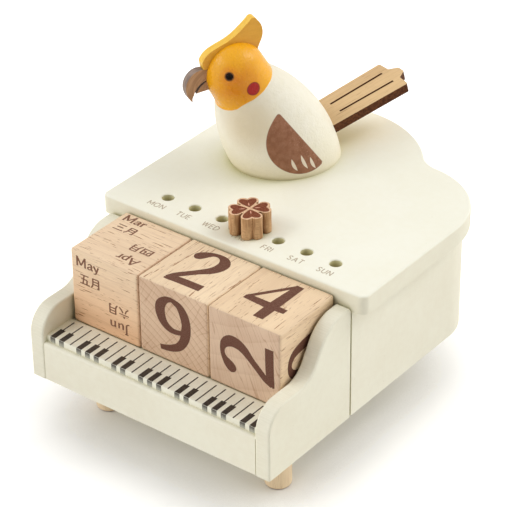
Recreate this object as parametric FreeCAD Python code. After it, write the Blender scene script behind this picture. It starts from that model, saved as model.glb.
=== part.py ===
import FreeCAD, Part

import math
import os

# Perpetual desk calendar in the form of a small grand piano, in painted wood.
# The keyboard end holds three loose date cubes and pulls forward as a drawer:
# a tray behind the cubes runs inside the hollow piano case. The case stands on
# a tail leg, the drawer on two front legs. The lid has a row of seven blind
# holes for a loose heart-petal peg, and a turned cockatoo stands behind them.
#
# Millimetres, +X to the right, +Y to the back, +Z up. Sizes are worked out
# with Y = 0 at the keyslip's face and Z = 0 on the desk; the finished pieces
# are then moved so that the origin is under the middle of the whole object.

# --- date cubes and the bay that holds them ---------------------------------
cube_side = 30.0
cube_edge_radius = 1.0
cube_gap = 0.3
bay_side_clearance = 1.0
bay_front_clearance = 0.2
bay_rear_clearance = 0.2
rest_gap = 0.1

# --- legs -------------------------------------------------------------------
leg_height = 21.0
leg_diameter = 9.6
leg_edge_radius = 1.2
leg_tenon_diameter = 5.0
leg_tenon_length = 4.0
front_leg_spacing = 76.0
front_leg_setback = 23.3
tail_leg_setback = 12.0

# --- keyboard end (the drawer's front) --------------------------------------
cheek_thickness = 6.0
cheek_proud = 0.2
cheek_over_keys = 9.4
cheek_over_case = 1.7
cheek_nose_radius = 9.5
cheek_crown_depth = 12.2
cheek_rise_angle = 58.0
cheek_hollow_radius = 10.0
cheek_crown_radius = 14.0
cheek_heel_radius = 1.5
cheek_edge_radius = 0.8
keyslip_height = 15.2
keyslip_thickness = 6.0
keyslip_edge_radius = 1.2
key_strip_setback = 1.9
key_strip_depth = 13.1
key_strip_height = 2.4
key_strip_edge_radius = 0.3
cube_lip = 0.6
shelf_thickness = 6.0
base_board_thickness = 6.0

# --- tray behind the cubes --------------------------------------------------
tray_board = 4.0
tray_bottom_thickness = 3.0
tray_length = 52.0
tray_side_height = 26.0
tray_side_clearance = 0.5
tray_floor_clearance = 0.2
bay_wall_top_clearance = 0.6

# --- piano case and lid -----------------------------------------------------
seam_gap = 0.3
case_lift = 0.3
case_height = 42.5
case_wall = 6.0
case_floor_thickness = 5.0
lid_thickness = 7.0
lid_overhang = 4.9
lid_top_edge_radius = 0.8
lid_corner_radius = 3.0
lid_length = 106.7
tail_radius = 43.0
lid_lobe_radius = 31.0
case_lobe_radius = 20.0
lobe_back = 131.5
waist_radius = 12.0

# --- weekday holes and the heart-petal peg ----------------------------------
weekday_count = 7
weekday_pitch = 12.2
weekday_setback = 12.3
hole_diameter = 4.5
hole_depth = 5.0
hole_bevel = 0.3
marked_weekday = 3
peg_clearance = 0.2
peg_pin_length = 4.5
peg_height = 8.4
petal_count = 4
petal_lobe_radius = 2.1
petal_lobe_distance = 5.2
petal_lobe_offset = 1.65
petal_core_radius = 4.0
petal_turn = 45.0

# --- cockatoo ---------------------------------------------------------------
bird_x = -21.1
bird_setback = 63.1
bird_heading = 28.0
bird_lean = 28.8
belly_radius = 19.5
belly_height = 8.4
belly_depth = 22.4
flank_radius = 55.4
collar_height = 37.0
head_radius = 11.3
head_height = 44.6
crest_thickness = 3.4
beak_thickness = 3.2
mouth_slot = 0.7
tail_thickness = 3.5
tail_pitch = 14.0
tail_turn = 8.0
tail_root_back = 16.4
tail_root_height = 11.9
tail_let_in = 8.0
tail_root_width = 16.6
tail_end_width = 18.2
feather_length = 30.4
feather_corner_radius = 0.8
feather_notch = 0.3
middle_feather_width = 7.6
middle_feather_extra = 3.6
middle_tip_width = 3.4
middle_tip_radius = 1.0
feather_groove_width = 0.5
feather_groove_depth = 0.3
groove_spacing = 6.3
groove_start = 3.7
groove_stop = 2.7
eye_radius = 1.4
eye_sink = 0.5
eye_side_angle = 57.8
eye_rise_angle = 14.7
dowel_diameter = 5.0
dowel_in_lid = 5.0
dowel_in_bird = 9.0

# --- places that follow from the sizes --------------------------------------
bay_half = (3 * cube_side + 2 * cube_gap) / 2 + bay_side_clearance
outer_half = bay_half + cheek_thickness
front_under = leg_height
keyslip_top = front_under + keyslip_height
key_strip_top = keyslip_top + key_strip_height
shelf_top = key_strip_top - cube_lip
key_strip_back = key_strip_setback + key_strip_depth
cube_front = key_strip_back + bay_front_clearance
cube_bottom = shelf_top + rest_gap
drawer_front_back = cube_front + cube_side + bay_rear_clearance
case_front = drawer_front_back + seam_gap
case_under = leg_height + case_lift
case_top = case_under + case_height
lid_top = case_top + lid_thickness
lid_half = outer_half + lid_overhang
lid_back = case_front + lid_length
floor_top = case_under + case_floor_thickness
tray_under = floor_top + tray_floor_clearance
tray_half = outer_half - case_wall - tray_side_clearance
tail_centre = (tail_radius - lid_half, lid_back - tail_radius)
weekday_y = case_front + weekday_setback
bird_y = case_front + bird_setback


def vec(x, y, z=0.0):
    return FreeCAD.Vector(x, y, z)


def board(x_low, x_high, y_low, y_high, z_low, z_high):
    return Part.makeBox(x_high - x_low, y_high - y_low, z_high - z_low,
                        vec(x_low, y_low, z_low))


def rounded_outline(corners, place):
    """Closed face from (u, v, radius) corners; place turns u, v into a point."""
    points = [FreeCAD.Vector(u, v, 0) for u, v, _ in corners]
    runs = []
    for i, (_, _, radius) in enumerate(corners):
        here = points[i]
        to_last = points[i - 1] - here
        to_next = points[(i + 1) % len(points)] - here
        to_last.normalize()
        to_next.normalize()
        if radius == 0:
            runs.append((here, None, here))
            continue
        half = to_last.getAngle(to_next) / 2
        reach = radius / math.tan(half)
        inward = to_last + to_next
        inward.normalize()
        centre = here + inward * (radius / math.sin(half))
        runs.append((here + to_last * reach, centre - inward * radius, here + to_next * reach))
    edges = []
    for i, (start, middle, end) in enumerate(runs):
        if middle is not None:
            edges.append(Part.Arc(place(start.x, start.y), place(middle.x, middle.y),
                                  place(end.x, end.y)).toShape())
        follow = runs[(i + 1) % len(runs)][0]
        if end.distanceToPoint(follow) > 1e-6:
            edges.append(Part.makeLine(place(end.x, end.y), place(follow.x, follow.y)))
    return Part.Face(Part.Wire(edges))


def smooth_edge(points, place):
    """Interpolated curve through (u, v) points, as an edge."""
    curve = Part.BSplineCurve()
    curve.interpolate([place(u, v) for u, v in points])
    return curve.toShape()


def arc_middle(centre, radius, first, last):
    """The point of an arc halfway between its two ends."""
    spoke = (first - centre) + (last - centre)
    spoke.normalize()
    return centre + spoke * radius


def soften(shape, radius, chosen):
    """Round the edges that chosen() picks."""
    return shape.makeFillet(radius, [edge for edge in shape.Edges if chosen(edge)])


# --- piano plan, shared by the lid, the case and its floor ------------------

def piano_plan(inset, lobe_r, front, corner_radius, z):
    """Plan of the piano at an inset from the lid's edge: straight sides, a
    large tail arc on the left, a smaller lobe on the right, and a hollow
    waist between them that is tangent to both."""
    half = lid_half - inset
    tail = vec(tail_centre[0], tail_centre[1], z)
    lobe = vec(half - lobe_r, lobe_back - inset - lobe_r, z)
    tail_r = tail_radius - inset
    waist_r = waist_radius + inset

    # the waist arc's centre, by two circles crossing
    from_tail = tail_r + waist_r
    from_lobe = lobe_r + waist_r
    across = lobe - tail
    span = across.Length
    across.normalize()
    along = (from_tail ** 2 - from_lobe ** 2 + span ** 2) / (2 * span)
    rise = math.sqrt(from_tail ** 2 - along ** 2)
    waist = tail + across * along + vec(-across.y, across.x) * rise

    tail_end = tail + (waist - tail) * (tail_r / from_tail)
    lobe_start = lobe + (waist - lobe) * (lobe_r / from_lobe)

    left = vec(-half, tail.y, z)
    right = vec(half, lobe.y, z)
    edges = [
        Part.Arc(left, arc_middle(tail, tail_r, left, tail_end), tail_end).toShape(),
        Part.Arc(tail_end, arc_middle(waist, waist_r, tail_end, lobe_start),
                 lobe_start).toShape(),
        Part.Arc(lobe_start, arc_middle(lobe, lobe_r, lobe_start, right), right).toShape(),
    ]
    if corner_radius == 0:
        edges.append(Part.makeLine(right, vec(half, front, z)))
        edges.append(Part.makeLine(vec(half, front, z), vec(-half, front, z)))
        edges.append(Part.makeLine(vec(-half, front, z), left))
        return Part.Face(Part.Wire(edges))
    r = corner_radius
    cut = r * (1 - math.sqrt(0.5))
    edges.append(Part.makeLine(right, vec(half, front + r, z)))
    edges.append(Part.Arc(vec(half, front + r, z), vec(half - cut, front + cut, z),
                          vec(half - r, front, z)).toShape())
    edges.append(Part.makeLine(vec(half - r, front, z), vec(r - half, front, z)))
    edges.append(Part.Arc(vec(r - half, front, z), vec(cut - half, front + cut, z),
                          vec(-half, front + r, z)).toShape())
    edges.append(Part.makeLine(vec(-half, front + r, z), left))
    return Part.Face(Part.Wire(edges))


def tail_leg_place():
    return tail_centre[0], tail_centre[1] + tail_leg_setback


def case_inner_plan(front):
    return piano_plan(lid_overhang + case_wall, case_lobe_radius - case_wall, front, 0,
                      case_under)


def make_case_rim():
    """Bent wall of the case: a tall ring, open at the keyboard end."""
    outer = piano_plan(lid_overhang, case_lobe_radius, case_front, 0, case_under)
    inner = case_inner_plan(case_front - case_wall)
    height = vec(0, 0, case_height)
    return outer.extrude(height).cut(inner.extrude(height))


def make_case_floor():
    """Floor let in between the case walls, with a socket for the tail leg."""
    floor = case_inner_plan(case_front).extrude(vec(0, 0, case_floor_thickness))
    leg_x, leg_y = tail_leg_place()
    return floor.cut(leg_tenon(leg_x, leg_y, case_under))


def make_lid():
    """Lid board with a softened top rim, seven weekday holes and the socket
    of the bird's dowel."""
    plan = piano_plan(0, lid_lobe_radius, case_front, lid_corner_radius, case_top)
    lid = plan.extrude(vec(0, 0, lid_thickness))
    lid = soften(lid, lid_top_edge_radius,
                 lambda edge: edge.BoundBox.ZMin > lid_top - 0.01)
    for index in range(weekday_count):
        lid = lid.cut(weekday_hole(index))
    return lid.cut(bird_dowel())


def weekday_x(index):
    return (index - (weekday_count - 1) / 2) * weekday_pitch


def weekday_hole(index):
    place = vec(weekday_x(index), weekday_y, lid_top - hole_depth)
    bore = Part.makeCylinder(hole_diameter / 2, hole_depth, place)
    mouth = Part.makeCone(hole_diameter / 2, hole_diameter / 2 + hole_bevel, hole_bevel,
                          place + vec(0, 0, hole_depth - hole_bevel))
    return bore.fuse(mouth)


# --- turned legs ------------------------------------------------------------

def leg_tenon(x, y, z):
    return Part.makeCylinder(leg_tenon_diameter / 2, leg_tenon_length, vec(x, y, z))


def make_leg(x, y, top):
    """Turned foot with a rounded toe and a tenon that is glued in above."""
    half_section = rounded_outline(
        [(0, 0, 0), (leg_diameter / 2, 0, leg_edge_radius),
         (leg_diameter / 2, top, 0), (0, top, 0)],
        lambda u, v: vec(u, 0, v))
    foot = half_section.revolve(vec(0, 0, 0), vec(0, 0, 1), 360)
    foot.translate(vec(x, y, 0))
    return foot.fuse(leg_tenon(x, y, top)).removeSplitter()


# --- keyboard end -----------------------------------------------------------

def make_cheek(side):
    """Side board of the keyboard end, sawn to the piano's arm: a round nose, a
    flat ledge, a hollow sweep up and a crowned top that meets the lid."""
    low = front_under
    ledge = key_strip_top + cheek_over_keys
    top = case_top + cheek_over_case
    crown = drawer_front_back - cheek_crown_depth
    foot = crown - (top - ledge) / math.tan(math.radians(cheek_rise_angle))
    inner_x = bay_half if side > 0 else -outer_half
    profile = rounded_outline(
        [(-cheek_proud, low, 0),
         (-cheek_proud, ledge, cheek_nose_radius),
         (foot, ledge, cheek_hollow_radius),
         (crown, top, cheek_crown_radius),
         (drawer_front_back, top, cheek_heel_radius),
         (drawer_front_back, low, 0)],
        lambda u, v: vec(inner_x, u, v))
    cheek = profile.extrude(vec(cheek_thickness, 0, 0))

    def on_arm(edge):
        box = edge.BoundBox
        along_face = box.XLength < 0.01
        not_bottom = box.ZMax > low + 0.01
        not_back = box.YMin < drawer_front_back - 0.01
        return along_face and not_bottom and not_back

    return soften(cheek, cheek_edge_radius, on_arm)


def make_keyslip():
    """Front rail below the keys, with a rounded top edge."""
    profile = rounded_outline(
        [(0, front_under, 0), (0, keyslip_top, keyslip_edge_radius),
         (keyslip_thickness, keyslip_top, 0), (keyslip_thickness, front_under, 0)],
        lambda u, v: vec(-bay_half, u, v))
    return profile.extrude(vec(2 * bay_half, 0, 0))


def make_key_strip():
    """Flat strip that carries the printed keys, proud of the cube shelf."""
    radius = key_strip_edge_radius
    profile = rounded_outline(
        [(key_strip_setback, keyslip_top, 0), (key_strip_setback, key_strip_top, radius),
         (key_strip_back, key_strip_top, radius), (key_strip_back, keyslip_top, 0)],
        lambda u, v: vec(-bay_half, u, v))
    return profile.extrude(vec(2 * bay_half, 0, 0))


def make_cube_shelf():
    """Shelf under the cubes, rebated at the front for the key strip."""
    profile = rounded_outline(
        [(keyslip_thickness, shelf_top - shelf_thickness, 0),
         (drawer_front_back, shelf_top - shelf_thickness, 0),
         (drawer_front_back, shelf_top, 0),
         (key_strip_back, shelf_top, 0),
         (key_strip_back, keyslip_top, 0),
         (keyslip_thickness, keyslip_top, 0)],
        lambda u, v: vec(-bay_half, u, v))
    return profile.extrude(vec(2 * bay_half, 0, 0))


def front_leg_x(side):
    return side * front_leg_spacing / 2


def make_base_board():
    """Bottom board between the cheeks, socketed for the two front legs."""
    base = board(-bay_half, bay_half, keyslip_thickness, drawer_front_back,
                 front_under, front_under + base_board_thickness)
    for side in (-1, 1):
        base = base.cut(leg_tenon(front_leg_x(side), front_leg_setback, front_under))
    return base


def make_date_cube(column):
    """Loose cube with softened edges; column counts from the left."""
    left = -(3 * cube_side + 2 * cube_gap) / 2 + column * (cube_side + cube_gap)
    cube = board(left, left + cube_side, cube_front, cube_front + cube_side,
                 cube_bottom, cube_bottom + cube_side)
    return soften(cube, cube_edge_radius, lambda edge: True)


# --- tray -------------------------------------------------------------------

tray_front = drawer_front_back + tray_board
tray_back = tray_front + tray_length


def make_bay_wall():
    """Wall behind the cubes, which is also the tray's front."""
    return board(-tray_half, tray_half, drawer_front_back, tray_front,
                 tray_under, case_top - bay_wall_top_clearance)


def make_tray_side(side):
    inner = tray_half - tray_board
    low, high = (inner, tray_half) if side > 0 else (-tray_half, -inner)
    return board(low, high, tray_front, tray_back, tray_under, tray_under + tray_side_height)


def make_tray_back():
    inner = tray_half - tray_board
    return board(-inner, inner, tray_back - tray_board, tray_back,
                 tray_under, tray_under + tray_side_height)


def make_tray_bottom():
    inner = tray_half - tray_board
    return board(-inner, inner, tray_front, tray_back - tray_board,
                 tray_under, tray_under + tray_bottom_thickness)


# --- heart-petal peg --------------------------------------------------------

def make_peg_flower():
    """Flower of heart-shaped petals, sawn through the full height."""
    low = lid_top + rest_gap
    height = vec(0, 0, peg_height)
    flower = Part.makeCylinder(petal_core_radius, peg_height, vec(0, 0, low))
    for turn in range(petal_count):
        lobes = []
        flank = []
        for side in (-1, 1):
            centre = vec(petal_lobe_distance, side * petal_lobe_offset, low)
            lobes.append(Part.makeCylinder(petal_lobe_radius, peg_height, centre))
            bearing = math.atan2(petal_lobe_offset, petal_lobe_distance)
            bearing += math.asin(petal_lobe_radius / math.hypot(petal_lobe_distance,
                                                                petal_lobe_offset))
            reach = math.sqrt(petal_lobe_distance ** 2 + petal_lobe_offset ** 2
                              - petal_lobe_radius ** 2)
            flank.append(vec(reach * math.cos(bearing), side * reach * math.sin(bearing), low))
        throat = [vec(0, 0, low), flank[0],
                  vec(petal_lobe_distance, -petal_lobe_offset, low),
                  vec(petal_lobe_distance, petal_lobe_offset, low), flank[1], vec(0, 0, low)]
        heart = Part.Face(Part.makePolygon(throat)).extrude(height).fuse(lobes)
        heart.rotate(vec(0, 0, 0), vec(0, 0, 1), petal_turn + turn * 360 / petal_count)
        flower = flower.fuse(heart)
    flower = flower.removeSplitter()
    flower.translate(vec(weekday_x(marked_weekday), weekday_y, 0))
    return flower


def make_peg_pin():
    """Pin under the flower, a loose fit in any weekday hole."""
    radius = hole_diameter / 2 - peg_clearance
    low = vec(weekday_x(marked_weekday), weekday_y, lid_top + rest_gap - peg_pin_length)
    return Part.makeCylinder(radius, peg_pin_length, low)


# --- cockatoo ---------------------------------------------------------------
# The bird is worked out facing -Y with its foot's centre at the origin, then
# turned to its heading and stood on the lid.

def stand_on_lid(shape):
    shape.rotate(vec(0, 0, 0), vec(0, 0, 1), -bird_heading)
    shape.translate(vec(bird_x, bird_y, lid_top))
    return shape


def head_centre():
    lean = math.radians(bird_lean)
    return vec(0, -head_height * math.sin(lean), head_height * math.cos(lean))


def turned_bird():
    """Egg-shaped body and round head, turned in one piece about an axis that
    leans forward, and sawn flat underneath. Body and head meet in a sharp
    collar; from there the head's side runs straight to its round top."""
    flank = vec(belly_radius - flank_radius, 0, belly_height)

    def on_flank(height):
        out = math.sqrt(flank_radius ** 2 - (height - belly_height) ** 2)
        return vec(flank.x + out, 0, height)

    low = on_flank(belly_height - belly_depth)
    collar = on_flank(collar_height)
    head = vec(0, 0, head_height)

    def on_head(angle):
        return head + vec(head_radius * math.sin(angle), 0, head_radius * math.cos(angle))

    # the straight side touches the head's arc at this angle from the crown
    to_collar = collar - head
    touch = (math.atan2(to_collar.x, to_collar.z)
             - math.acos(head_radius / to_collar.Length))
    cheek = on_head(touch)
    crown = on_head(0)
    foot = vec(0, 0, low.z)

    half_section = Part.Face(Part.Wire([
        Part.Arc(low, arc_middle(flank, flank_radius, low, collar), collar).toShape(),
        Part.makeLine(collar, cheek),
        Part.Arc(cheek, on_head(touch / 2), crown).toShape(),
        Part.makeLine(crown, foot),
        Part.makeLine(foot, low)]))
    body = half_section.revolve(vec(0, 0, 0), vec(0, 0, 1), 360)
    body.rotate(vec(0, 0, 0), vec(1, 0, 0), bird_lean)
    reach = 2 * belly_radius
    return body.common(board(-reach, reach, -2 * reach, reach, 0, 3 * reach))


def beside_head(thickness):
    """Placer of a thin board's outline, in head radii from the head's centre:
    u is towards the tail and v is up. Steps (du, dv) are in millimetres."""
    centre = head_centre()

    def place(u, v, du=0.0, dv=0.0):
        return vec(-thickness / 2, centre.y + u * head_radius + du,
                   centre.z + v * head_radius + dv)

    return place


def crest_board():
    """Crest sawn from thin board: low over the brow, swept up to a rounded tip
    at the back of the head."""
    place = beside_head(crest_thickness)
    brow = (-1.08, 0.29)
    nose = (-1.12, 0.53)
    sweep = [nose, (-0.98, 0.75), (-0.60, 0.96), (-0.18, 1.13), (0.16, 1.36), (0.49, 1.65)]
    tip = (0.62, 1.73)
    nape = [(0.75, 1.63), (0.92, 1.32), (0.92, 1.06), (0.79, 0.73), (0.75, 0.35)]
    edges = [Part.makeLine(place(*brow), place(*nose)),
             smooth_edge(sweep, place),
             Part.Arc(place(*sweep[-1]), place(*tip), place(*nape[0])).toShape(),
             smooth_edge(nape, place),
             Part.makeLine(place(*nape[-1]), place(*brow))]
    return Part.Face(Part.Wire(edges)).extrude(vec(crest_thickness, 0, 0))


def beak_board():
    """Hooked beak sawn from thin board, with a curved slot for the mouth."""
    place = beside_head(beak_thickness)
    root_top = (-0.51, 0.29)
    brow = (-1.08, 0.28)
    hook = [brow, (-1.36, 0.26), (-1.59, 0.07), (-1.69, -0.23), (-1.65, -0.48), (-1.47, -0.76)]
    notch = [hook[-1], (-1.475, -0.62), (-1.40, -0.49)]
    chin = (-1.26, -0.46)
    root_low = (-0.51, -0.38)
    edges = [Part.makeLine(place(*root_top), place(*brow)),
             smooth_edge(hook, place),
             Part.Arc(place(*notch[0]), place(*notch[1]), place(*notch[2])).toShape(),
             Part.makeLine(place(*notch[2]), place(*chin)),
             Part.makeLine(place(*chin), place(*root_low)),
             Part.makeLine(place(*root_low), place(*root_top))]
    beak = Part.Face(Part.Wire(edges)).extrude(vec(beak_thickness, 0, 0))

    lip = (-1.43, -0.54)
    palate = (-1.24, -0.21)
    corner = (-0.83, -0.08)
    upper = Part.Arc(place(*lip), place(*palate), place(*corner)).toShape()
    lower = Part.Arc(place(*corner), place(*palate, mouth_slot * 0.75, -mouth_slot),
                     place(*lip, mouth_slot)).toShape()
    front = Part.makeLine(place(*lip, mouth_slot), place(*lip))
    slot = Part.Face(Part.Wire([upper, lower, front])).extrude(vec(beak_thickness, 0, 0))
    return beak.cut(slot)


def tail_board():
    """Fanned tail of three feathers, the middle one longest, with two grooves
    scored between them; its root is let into the body."""
    root = tail_root_width / 2
    end = tail_end_width / 2
    middle = middle_feather_width / 2
    tip = feather_length + middle_feather_extra
    half = [(-tail_let_in, root, 0), (feather_length, end, feather_corner_radius),
            (feather_length + feather_notch, middle, 0),
            (tip, middle_tip_width / 2, middle_tip_radius)]
    outline = half + [(u, -v, radius) for u, v, radius in reversed(half)]
    tail = rounded_outline(outline, lambda u, v: vec(v, u, 0)).extrude(
        vec(0, 0, -tail_thickness))
    groove_length = feather_length - groove_start - groove_stop
    splay = math.degrees(math.atan2((end - root) / 2, groove_length))
    for side in (-1, 1):
        groove = board(-feather_groove_width / 2, feather_groove_width / 2,
                       0, groove_length, -feather_groove_depth, tail_thickness)
        groove.rotate(vec(0, 0, 0), vec(0, 0, 1), -side * splay)
        groove.translate(vec(side * groove_spacing / 2, groove_start, 0))
        tail = tail.cut(groove)
    tail.rotate(vec(0, 0, 0), vec(1, 0, 0), tail_pitch)
    tail.translate(vec(0, tail_root_back, tail_root_height))
    tail.rotate(vec(0, 0, 0), vec(0, 0, 1), tail_turn)
    return tail


def eye_bead(side):
    """Bead eye, sunk a little into the head."""
    across = math.radians(eye_side_angle)
    rise = math.radians(eye_rise_angle)
    outward = vec(side * math.sin(across) * math.cos(rise),
                  -math.cos(across) * math.cos(rise), math.sin(rise))
    return Part.makeSphere(eye_radius, head_centre() + outward * (head_radius - eye_sink),
                           outward)


def bird_dowel():
    """Dowel that fixes the bird to the lid."""
    return Part.makeCylinder(dowel_diameter / 2, dowel_in_lid + dowel_in_bird,
                             vec(bird_x, bird_y, lid_top - dowel_in_lid))


def make_bird():
    """The bird's pieces by name, the body cut to take the others."""
    crest = crest_board()
    beak = beak_board()
    tail = tail_board()
    eyes = {"left": eye_bead(1), "right": eye_bead(-1)}
    body = turned_bird()
    for let_in in (crest, beak, tail, eyes["left"], eyes["right"]):
        body = body.cut(let_in)
    pieces = {"bird_body": stand_on_lid(body).cut(bird_dowel()),
              "bird_crest": stand_on_lid(crest),
              "bird_beak": stand_on_lid(beak),
              "bird_tail": stand_on_lid(tail),
              "bird_dowel": bird_dowel()}
    for name, eye in eyes.items():
        pieces["bird_eye_" + name] = stand_on_lid(eye)
    return pieces


# --- the whole calendar -----------------------------------------------------

def make_pieces():
    leg_x, leg_y = tail_leg_place()
    pieces = {
        "case_rim": make_case_rim(),
        "case_floor": make_case_floor(),
        "lid": make_lid(),
        "tail_leg": make_leg(leg_x, leg_y, case_under),
        "cheek_left": make_cheek(-1),
        "cheek_right": make_cheek(1),
        "keyslip": make_keyslip(),
        "key_strip": make_key_strip(),
        "cube_shelf": make_cube_shelf(),
        "base_board": make_base_board(),
        "front_leg_left": make_leg(front_leg_x(-1), front_leg_setback, front_under),
        "front_leg_right": make_leg(front_leg_x(1), front_leg_setback, front_under),
        "bay_wall": make_bay_wall(),
        "tray_side_left": make_tray_side(-1),
        "tray_side_right": make_tray_side(1),
        "tray_back": make_tray_back(),
        "tray_bottom": make_tray_bottom(),
        "month_cube": make_date_cube(0),
        "tens_cube": make_date_cube(1),
        "units_cube": make_date_cube(2),
        "peg_flower": make_peg_flower(),
        "peg_pin": make_peg_pin(),
    }
    pieces.update(make_bird())
    return pieces


def centre_over_origin(pieces):
    """Move every piece so that the origin is under the middle of the whole."""
    whole = Part.makeCompound(list(pieces.values())).optimalBoundingBox(False, False)
    shift = vec(-(whole.XMin + whole.XMax) / 2, -(whole.YMin + whole.YMax) / 2, -whole.ZMin)
    for shape in pieces.values():
        shape.translate(shift)
    print("moved by", round(shift.x, 3), round(shift.y, 3), round(shift.z, 3))


pieces = make_pieces()
centre_over_origin(pieces)
os.makedirs("parts", exist_ok=True)
for name, shape in pieces.items():
    if not shape.isValid() or len(shape.Solids) != 1:
        raise SystemExit(name + " is not one valid solid")
    shape.Solids[0].exportStep("parts/" + name + ".step")
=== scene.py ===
import math

import bpy
from mathutils import Matrix, Vector


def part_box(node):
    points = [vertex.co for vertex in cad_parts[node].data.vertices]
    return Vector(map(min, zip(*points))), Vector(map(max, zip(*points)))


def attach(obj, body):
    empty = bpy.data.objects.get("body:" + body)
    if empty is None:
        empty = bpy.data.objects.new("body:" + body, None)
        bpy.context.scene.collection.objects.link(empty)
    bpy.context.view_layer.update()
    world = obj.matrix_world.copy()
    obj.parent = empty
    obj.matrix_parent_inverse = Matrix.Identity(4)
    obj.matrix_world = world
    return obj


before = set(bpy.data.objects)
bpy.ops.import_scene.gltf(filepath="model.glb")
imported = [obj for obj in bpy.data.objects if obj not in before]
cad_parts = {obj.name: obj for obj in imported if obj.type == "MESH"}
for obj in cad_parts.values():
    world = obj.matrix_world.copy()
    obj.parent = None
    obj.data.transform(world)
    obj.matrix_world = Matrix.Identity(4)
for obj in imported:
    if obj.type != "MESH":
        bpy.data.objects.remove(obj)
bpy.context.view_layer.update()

# --- Piano case -------------------------------------------------------------
# The hollow piano body: a bent fibreboard rim, open at the keyboard end, glued
# round a floor board. It is filled, sanded and sprayed with ivory paint, which
# shows a fine orange peel, with a painted olive shade in the corners.


def tone(red, green, blue):
    """A paint tone mixed on a 0 to 255 scale, as the linear colour a shader takes."""
    shares = [value / 255 for value in (red, green, blue)]
    bright = [s / 12.92 if s <= 0.04045 else ((s + 0.055) / 1.055) ** 2.4 for s in shares]
    return (*bright, 1.0)


class Signal:
    """A value carried between nodes; its sums and products add the nodes they need."""

    def __init__(self, wiring, socket):
        self.wiring = wiring
        self.socket = socket

    def __add__(self, other):
        return self.wiring.calc("ADD", self, other)

    def __radd__(self, other):
        return self.wiring.calc("ADD", other, self)

    def __sub__(self, other):
        return self.wiring.calc("SUBTRACT", self, other)

    def __rsub__(self, other):
        return self.wiring.calc("SUBTRACT", other, self)

    def __mul__(self, other):
        return self.wiring.calc("MULTIPLY", self, other)

    def __truediv__(self, other):
        return self.wiring.calc("DIVIDE", self, other)

    def __abs__(self):
        return self.wiring.calc("ABSOLUTE", self)


class Wiring:
    """Places nodes in one tree and joins them; a value is a number, a colour or a signal.
    Its own place is where a spot lies in the piece's frame, in millimetres."""

    def __init__(self, tree):
        self.tree = tree
        self.own = None

    def feed(self, socket, value):
        if isinstance(value, Signal):
            self.tree.links.new(value.socket, socket)
        else:
            socket.default_value = value

    def node(self, kind, values=(), give=None, **settings):
        """A new node, and what it gives: one output, or all of them by name."""
        made = self.tree.nodes.new("ShaderNode" + kind)
        for setting, value in settings.items():
            setattr(made, setting, value)
        for place, value in dict(values).items():
            self.feed(made.inputs[place], value)
        if give is None:
            return {output.name: Signal(self, output) for output in made.outputs}
        return Signal(self, made.outputs[give])

    def calc(self, operation, *values, clamp=False):
        return self.node("Math", enumerate(values), 0, operation=operation, use_clamp=clamp)

    def vectors(self, operation, *values):
        give = "Value" if operation in ("DOT_PRODUCT", "LENGTH") else "Vector"
        return self.node("VectorMath", enumerate(values), give, operation=operation)

    def length(self, *sides):
        """The length of a straight line from its steps along square axes."""
        squares = [side * side for side in sides]
        return self.calc("SQRT", sum(squares[1:], squares[0]))

    def between(self, value, low, high, start=0.0, end=1.0):
        """Eases from start to end while the value runs from low to high."""
        numbers = (value, low, high, start, end)
        return self.node("MapRange", enumerate(numbers), 0, interpolation_type="SMOOTHSTEP")

    def fade(self, value, low, high):
        """Falls from 1 to 0 while the value runs from low to high."""
        return self.between(value, low, high, 1.0, 0.0)

    def mix(self, share, first, second):
        return self.node("Mix", {0: share, 6: first, 7: second}, 2, data_type="RGBA")

    def stretched(self, place, scale, offset=(0, 0, 0)):
        return self.node("Mapping", {"Vector": place, "Scale": scale, "Location": offset}, 0)

    def noise(self, scale, detail=2.0, rough=0.5, place=None):
        """Clouds over the own place or another; three scales stretch them along the axes."""
        place = place or self.own
        if isinstance(scale, tuple):
            place, scale = self.stretched(place, scale), 1.0
        values = {"Vector": place, "Scale": scale, "Detail": detail, "Roughness": rough}
        return self.node("TexNoise", values, 0)

    def patches(self, scale, detail=2.0, low=0.35, high=0.65, **more):
        """Clouds drawn together into patches with soft edges."""
        return self.between(self.noise(scale, detail, **more), low, high)

    def parts(self, place):
        return list(self.node("SeparateXYZ", {"Vector": place}).values())

    def corner(self, distance, low, high, full, samples=8):
        """How deep in a corner a spot lies: full where it is closed in, 0 in the open."""
        light = self.node("AmbientOcclusion", {"Distance": distance}, "AO", samples=samples)
        return self.between(light, low, high, full, 0.0)

    def use(self, group, **values):
        return self.node("Group", values, node_tree=group)


def new_effect(name, takes, gives):
    """An empty shader group: its wiring, the signals it takes and the sockets it gives."""
    kinds = {"vector": "NodeSocketVector", "colour": "NodeSocketColor", "value": "NodeSocketFloat"}
    tree = bpy.data.node_groups.new(name, "ShaderNodeTree")
    for sockets, way in ((takes, "INPUT"), (gives, "OUTPUT")):
        for socket, kind in sockets.items():
            tree.interface.new_socket(socket, in_out=way, socket_type=kinds[kind])
    wiring = Wiring(tree)
    inside = tree.nodes.new("NodeGroupInput").outputs
    taken = {socket: Signal(wiring, inside[socket]) for socket in takes}
    wiring.own = taken.get("Place")
    given = tree.nodes.new("NodeGroupOutput").inputs
    return tree, wiring, taken, given


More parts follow.
